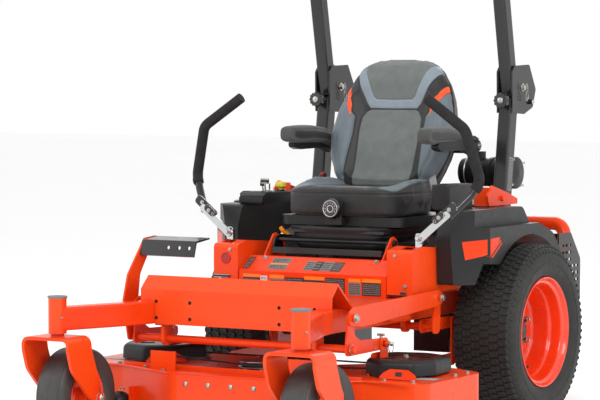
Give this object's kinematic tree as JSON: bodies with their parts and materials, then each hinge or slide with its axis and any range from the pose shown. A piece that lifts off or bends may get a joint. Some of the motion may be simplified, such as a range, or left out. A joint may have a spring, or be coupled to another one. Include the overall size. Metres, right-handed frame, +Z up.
{
  "type": "zero turn mower",
  "caption": "Ride-on lawn mower with twin steering levers, suspended high-back seat, folding roll bar, rear engine, mid-mounted cutting deck, rear drive wheels and swivelling front casters.",
  "frame": {"origin": "middle of the machine's footprint rectangle, on the ground", "axes": "+X to the operator's left, front of the machine faces -Y, +Z up"},
  "size_m": [1.336, 2.056, 1.823],
  "materials": {
    "orange_paint": "gloss enamel",
    "black_paint": "gloss powder coat",
    "black_plastic": "moulded, fine grain",
    "red_plastic": "gloss",
    "tyre_rubber": "satin rubber",
    "chrome": "polished",
    "grip_foam": "foam grip",
    "seat_fabric": "woven fabric and vinyl",
    "bellows_rubber": "matt rubber",
    "engine_metal": "cast",
    "steel": "ground",
    "belt_rubber": "belt rubber"
  },
  "bodies": {
    "chassis": {"frame_rails": "orange_paint", "front_beam": "orange_paint", "caster_arms": "orange_paint", "floor_pan": "orange_paint", "lever_boxes": "orange_paint", "fender_left": "black_plastic", "fender_right": "black_plastic", "control_console": "black_plastic", "engine_block": "engine_metal", "engine_shroud": "black_plastic", "air_cleaner": "black_plastic", "transaxles": "black_paint", "rear_bumper": "orange_paint", "rear_guard": "black_paint", "rops_posts": "black_paint", "rops_brackets": "orange_paint"},
    "hoop": {"rops_hoop": "black_paint"},
    "seat_base": {"seat_platform": "black_paint", "seat_bellows": "bellows_rubber"},
    "suspension": {"suspension_top": "black_paint"},
    "seat": {"seat_pan": "black_plastic", "seat_cushion": "seat_fabric", "seat_back": "seat_fabric", "back_shell": "black_plastic"},
    "weight_knob": {"weight_knob": "black_plastic"},
    "fuel_cap": {"fuel_cap": "black_plastic"},
    "throttle_lever": {"throttle_lever": "black_plastic"},
    "pto_switch": {"pto_switch": "red_plastic"},
    "deck": {"deck_shell": "orange_paint", "spindle_housings": "steel", "belt_covers": "black_plastic", "deck_belt": "belt_rubber", "deck_hangers": "orange_paint"},
    "blade_centre": {"blade_centre": "steel"},
    "blade_left": {"blade_left": "steel"},
    "blade_right": {"blade_right": "steel"},
    "chute": {"discharge_chute": "black_plastic"},
    "gauge_rollers": {"gauge_rollers": "black_plastic"},
    "front_lift": {"front_lift": "orange_paint", "lift_pedal": "black_paint"},
    "rear_lift": {"rear_lift": "orange_paint"},
    "link_bars": {"link_bars": "orange_paint"},
    "caster_left": {"caster_fork_left": "orange_paint"},
    "caster_wheel_left": {"caster_tyre_left": "tyre_rubber", "caster_hub_left": "orange_paint"},
    "rear_wheel_left": {"rear_tyre_left": "tyre_rubber", "rear_rim_left": "orange_paint"},
    "lever_base_left": {"lever_yoke_left": "chrome"},
    "lever_left": {"control_lever_left": "black_paint", "lever_grip_left": "grip_foam"},
    "armrest_left": {"armrest_left": "black_plastic"},
    "caster_right": {"caster_fork_right": "orange_paint"},
    "caster_wheel_right": {"caster_tyre_right": "tyre_rubber", "caster_hub_right": "orange_paint"},
    "rear_wheel_right": {"rear_tyre_right": "tyre_rubber", "rear_rim_right": "orange_paint"},
    "lever_base_right": {"lever_yoke_right": "chrome"},
    "lever_right": {"control_lever_right": "black_paint", "lever_grip_right": "grip_foam"},
    "armrest_right": {"armrest_right": "black_plastic"}
  },
  "joints": [
    {"name": "rops_fold", "type": "hinge", "parent": "chassis", "child": "hoop", "pos_m": [0.05, 0.607, 1.02], "axis": [1, 0, 0], "range_deg": [-105, 0]},
    {"name": "caster_swivel_left", "type": "hinge", "parent": "chassis", "child": "caster_left", "pos_m": [0.471, -0.964, 0.39], "axis": [0, 0, 1], "continuous": true},
    {"name": "caster_roll_left", "type": "hinge", "parent": "caster_left", "child": "caster_wheel_left", "pos_m": [0.471, -0.872, 0.147], "axis": [1, 0, 0], "continuous": true},
    {"name": "rear_roll_left", "type": "hinge", "parent": "chassis", "child": "rear_wheel_left", "pos_m": [0.5175, 0.338, 0.285], "axis": [1, 0, 0], "continuous": true},
    {"name": "lever_drive_left", "type": "hinge", "parent": "chassis", "child": "lever_base_left", "pos_m": [0.39, -0.109, 0.5], "axis": [1, 0, 0], "range_deg": [-15, 9]},
    {"name": "lever_swing_left", "type": "hinge", "parent": "lever_base_left", "child": "lever_left", "pos_m": [0.399, -0.109, 0.606], "axis": [0, 1, 0], "range_deg": [-20, 0]},
    {"name": "armrest_left", "type": "hinge", "parent": "seat", "child": "armrest_left", "pos_m": [0.323, 0.4, 0.878], "axis": [1, 0, 0], "range_deg": [-60, 0]},
    {"name": "caster_swivel_right", "type": "hinge", "parent": "chassis", "child": "caster_right", "pos_m": [-0.371, -0.964, 0.39], "axis": [0, 0, 1], "continuous": true},
    {"name": "caster_roll_right", "type": "hinge", "parent": "caster_right", "child": "caster_wheel_right", "pos_m": [-0.371, -0.872, 0.147], "axis": [1, 0, 0], "continuous": true},
    {"name": "rear_roll_right", "type": "hinge", "parent": "chassis", "child": "rear_wheel_right", "pos_m": [-0.4175, 0.338, 0.285], "axis": [1, 0, 0], "continuous": true},
    {"name": "lever_drive_right", "type": "hinge", "parent": "chassis", "child": "lever_base_right", "pos_m": [-0.29, -0.109, 0.5], "axis": [1, 0, 0], "range_deg": [-15, 9]},
    {"name": "lever_swing_right", "type": "hinge", "parent": "lever_base_right", "child": "lever_right", "pos_m": [-0.299, -0.109, 0.606], "axis": [0, 1, 0], "range_deg": [0, 20]},
    {"name": "armrest_right", "type": "hinge", "parent": "seat", "child": "armrest_right", "pos_m": [-0.223, 0.4, 0.878], "axis": [1, 0, 0], "range_deg": [-60, 0]},
    {"name": "seat_tilt", "type": "hinge", "parent": "chassis", "child": "seat_base", "pos_m": [0.05, -0.052, 0.58], "axis": [1, 0, 0], "range_deg": [0, 60]},
    {"name": "seat_suspension", "type": "slide", "parent": "seat_base", "child": "suspension", "axis": [0, 0, 1], "range_m": [-0.02, 0.02], "stiffness_N_per_m": 30000, "springref_m": 0.015, "deforming": ["seat_bellows"]},
    {"name": "seat_slide", "type": "slide", "parent": "suspension", "child": "seat", "axis": [0, 1, 0], "range_m": [-0.05, 0.03]},
    {"name": "weight_knob_turn", "type": "hinge", "parent": "seat", "child": "weight_knob", "pos_m": [0.05, -0.063, 0.685], "axis": [0, 1, 0], "continuous": true},
    {"name": "fuel_cap_turn", "type": "hinge", "parent": "chassis", "child": "fuel_cap", "pos_m": [-0.381, 0.148, 0.7], "axis": [0, 0, 1], "continuous": true},
    {"name": "throttle_slide", "type": "slide", "parent": "chassis", "child": "throttle_lever", "axis": [0, 1, 0], "range_m": [-0.02, 0.02]},
    {"name": "pto_pull", "type": "slide", "parent": "chassis", "child": "pto_switch", "axis": [0, 0, 1], "range_m": [0, 0.012]},
    {"name": "deck_lift", "type": "slide", "parent": "chassis", "child": "deck", "axis": [0, 0, 1], "range_m": [-0.05, 0.04]},
    {"name": "blade_spin_centre", "type": "hinge", "parent": "deck", "child": "blade_centre", "pos_m": [0.05, -0.507, 0.104], "axis": [0, 0, 1], "continuous": true},
    {"name": "blade_spin_left", "type": "hinge", "parent": "deck", "child": "blade_left", "pos_m": [0.455, -0.377, 0.104], "axis": [0, 0, 1], "continuous": true},
    {"name": "blade_spin_right", "type": "hinge", "parent": "deck", "child": "blade_right", "pos_m": [-0.355, -0.377, 0.104], "axis": [0, 0, 1], "continuous": true},
    {"name": "chute_lift", "type": "hinge", "parent": "deck", "child": "chute", "pos_m": [-0.583, -0.392, 0.205], "axis": [0, 1, 0], "range_deg": [0, 75]},
    {"name": "gauge_roll", "type": "hinge", "parent": "deck", "child": "gauge_rollers", "pos_m": [0.05, -0.67, 0.1], "axis": [1, 0, 0], "continuous": true},
    {"name": "front_lift_turn", "type": "hinge", "parent": "chassis", "child": "front_lift", "pos_m": [0.05, -0.607, 0.305], "axis": [1, 0, 0], "range_deg": [-15, 12]},
    {"name": "rear_lift_turn", "type": "hinge", "parent": "chassis", "child": "rear_lift", "pos_m": [0.05, -0.062, 0.325], "axis": [1, 0, 0], "range_deg": [-15, 12]},
    {"name": "link_turn", "type": "hinge", "parent": "front_lift", "child": "link_bars", "pos_m": [0.05, -0.597, 0.397], "axis": [1, 0, 0], "range_deg": [-12, 15]}
  ],
  "couplings": [
    {"joint": "blade_spin_left", "follows": "blade_spin_centre", "ratio": 1},
    {"joint": "blade_spin_right", "follows": "blade_spin_centre", "ratio": 1},
    {"joint": "front_lift_turn", "follows": "deck_lift", "rad_per_m": 4.878},
    {"joint": "rear_lift_turn", "follows": "deck_lift", "rad_per_m": 4.878},
    {"joint": "link_turn", "follows": "deck_lift", "rad_per_m": -4.878}
  ]
}
